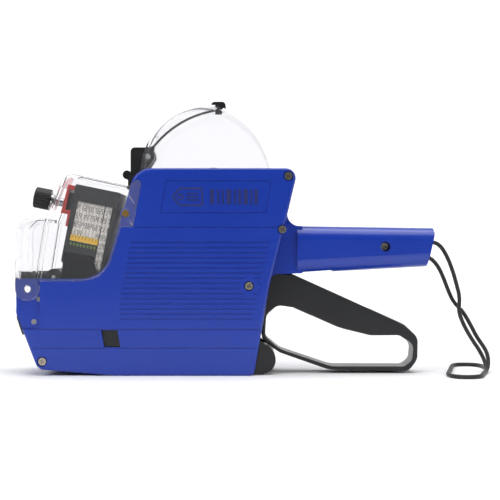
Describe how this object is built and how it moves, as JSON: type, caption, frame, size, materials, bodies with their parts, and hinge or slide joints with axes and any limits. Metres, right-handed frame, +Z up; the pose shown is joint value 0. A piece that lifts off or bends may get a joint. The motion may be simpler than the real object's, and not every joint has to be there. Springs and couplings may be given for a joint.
{
  "type": "price labeling gun",
  "caption": "Hand-held price labelling gun with a hinged clear roll cover, print head worked by the trigger, and a wrist cord.",
  "frame": {"origin": "middle of the flat underside it stands on, at the middle of its length without the wrist cord", "axes": "+X back to the handle, +Y to the gun's right-hand side, +Z up"},
  "size_m": [0.2786, 0.0755, 0.1599],
  "materials": {
    "blue_abs": "moulded, satin",
    "clear_plastic": "clear, polished",
    "black_plastic": "moulded, satin",
    "dark_blue_plastic": "moulded, satin",
    "steel": "bright zinc or nickel plate",
    "clear_pin": "moulded",
    "band_rubber": "matt moulded characters",
    "red_plastic": "moulded, gloss",
    "yellow_plastic": "printed strip",
    "roller_rubber": "matt",
    "ink_felt": "ink-soaked foam",
    "cord_nylon": "braided"
  },
  "bodies": {
    "root": {"left_side_cover": "blue_abs", "right_side_cover": "blue_abs", "case_screws": "steel", "head_cover_screws": "steel", "pivot_axle": "steel", "head_cover": "clear_plastic", "door_hinge_pins": "clear_pin", "cover_post": "black_plastic", "cover_hinge_pin": "steel", "roll_axle": "steel", "feed_axle": "steel", "check_pawl": "black_plastic", "label_guide": "steel", "platen_frame": "black_plastic", "peel_bar": "steel", "applicator_nose": "black_plastic", "applicator_axle": "steel", "inker_hinge_pin": "steel", "door_comb": "black_plastic", "bottom_hinge_pin": "steel", "cord_anchor": "cord_nylon", "wrist_cord": "cord_nylon"},
    "lever": {"trigger": "black_plastic", "lever_hub": "black_plastic", "left_lever_arm": "steel", "right_lever_arm": "steel", "arm_tie_rod": "steel", "drive_pawl": "black_plastic", "return_spring": "steel", "print_head_frame": "black_plastic", "selector_wheels": "black_plastic", "band_core": "black_plastic", "set_line_strip": "yellow_plastic", "selector_bracket": "red_plastic", "selector_collar": "black_plastic", "type_band_01": "band_rubber", "type_band_02": "band_rubber", "type_band_03": "band_rubber", "type_band_04": "band_rubber", "type_band_05": "band_rubber", "type_band_06": "band_rubber", "type_band_07": "band_rubber", "type_band_08": "band_rubber", "type_band_09": "band_rubber", "type_band_10": "band_rubber"},
    "selector_slide": {"selector_shaft": "steel"},
    "selector_dial": {"selector_knob": "black_plastic"},
    "inker": {"ink_holder": "black_plastic", "ink_roller_pin": "steel"},
    "ink_drum": {"ink_roller": "ink_felt"},
    "door": {"front_door": "clear_plastic"},
    "dome": {"roll_cover": "clear_plastic", "cover_strap": "black_plastic", "cover_knob": "black_plastic"},
    "spool": {"roll_hub": "black_plastic"},
    "feed_drum": {"feed_wheel": "roller_rubber", "ratchet_wheel": "black_plastic"},
    "press_drum": {"applicator_roller": "roller_rubber"},
    "floor_hatch": {"bottom_cover": "dark_blue_plastic"},
    "latch": {"cover_latch": "black_plastic"}
  },
  "joints": [
    {"name": "trigger_squeeze", "type": "hinge", "parent": "root", "child": "lever", "pos_m": [0.0128, 0, 0.0516], "axis": [0, -1, 0], "range_deg": [0, 12], "stiffness_Nm_per_rad": 2, "springref_deg": -8.59},
    {"name": "selector_pull", "type": "slide", "parent": "lever", "child": "selector_slide", "axis": [-0.9799, 0, 0.1994], "range_m": [0, 0.016]},
    {"name": "selector_turn", "type": "hinge", "parent": "selector_slide", "child": "selector_dial", "pos_m": [-0.10949, 0, 0.10283], "axis": [-0.9799, 0, 0.1994], "continuous": true},
    {"name": "inker_swing", "type": "hinge", "parent": "root", "child": "inker", "pos_m": [-0.108, 0, 0.044], "axis": [0, -1, 0], "range_deg": [0, 53]},
    {"name": "ink_roller_spin", "type": "hinge", "parent": "inker", "child": "ink_drum", "pos_m": [-0.101, 0, 0.0564], "axis": [0, 1, 0], "continuous": true},
    {"name": "front_door_open", "type": "hinge", "parent": "root", "child": "door", "pos_m": [-0.1146, 0, 0.0499], "axis": [0, -1, 0], "range_deg": [0, 80]},
    {"name": "roll_cover_open", "type": "hinge", "parent": "root", "child": "dome", "pos_m": [-0.0466, 0, 0.1272], "axis": [0, -1, 0], "range_deg": [0, 95]},
    {"name": "roll_hub_spin", "type": "hinge", "parent": "root", "child": "spool", "pos_m": [-0.008, 0, 0.104], "axis": [0, 1, 0], "continuous": true},
    {"name": "feed_wheel_spin", "type": "hinge", "parent": "root", "child": "feed_drum", "pos_m": [-0.045, 0, 0.024], "axis": [0, 1, 0], "continuous": true},
    {"name": "applicator_roller_spin", "type": "hinge", "parent": "root", "child": "press_drum", "pos_m": [-0.111, 0, 0.031], "axis": [0, 1, 0], "continuous": true},
    {"name": "bottom_cover_open", "type": "hinge", "parent": "root", "child": "floor_hatch", "pos_m": [-0.0975, 0, 0.0062], "axis": [0, 1, 0], "range_deg": [0, 30]},
    {"name": "latch_press", "type": "slide", "parent": "floor_hatch", "child": "latch", "axis": [-1, 0, 0], "range_m": [0, 0.003], "stiffness_N_per_m": 400, "springref_m": -0.002}
  ],
  "couplings": [
    {"joint": "inker_swing", "follows": "trigger_squeeze", "ratio": 4.4}
  ]
}
